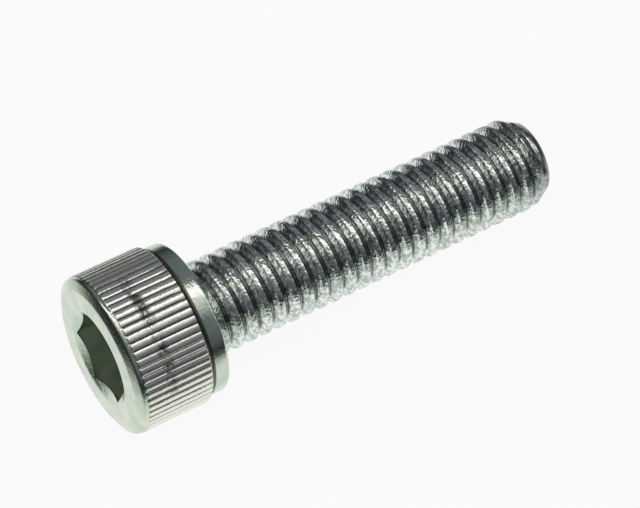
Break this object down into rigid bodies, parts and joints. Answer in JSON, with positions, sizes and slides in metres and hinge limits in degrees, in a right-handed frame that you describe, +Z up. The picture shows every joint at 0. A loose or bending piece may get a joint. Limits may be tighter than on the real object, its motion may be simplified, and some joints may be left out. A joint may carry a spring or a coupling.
{
  "type": "hex socket cap screw",
  "caption": "Hex socket cap screw lying at rest: knurled cylindrical head with a hexagon socket, shank threaded over its whole length, chamfered tip.",
  "frame": {"origin": "on the ground under the middle of the screw as it lies at rest (bottom centre of its box)", "axes": "+Z up from the ground; +X along the screw from its head to its tip, which dips 4.9 degrees because the screw lies on its head's rear edge and its tip"},
  "size_m": [0.0314, 0.0102, 0.0105],
  "materials": {
    "zinc_plated_steel": "bright zinc plating over cold-headed and rolled steel, blue-clear, semi-gloss"
  },
  "bodies": {
    "root": {"cap_screw": "zinc_plated_steel"}
  },
  "joints": []
}
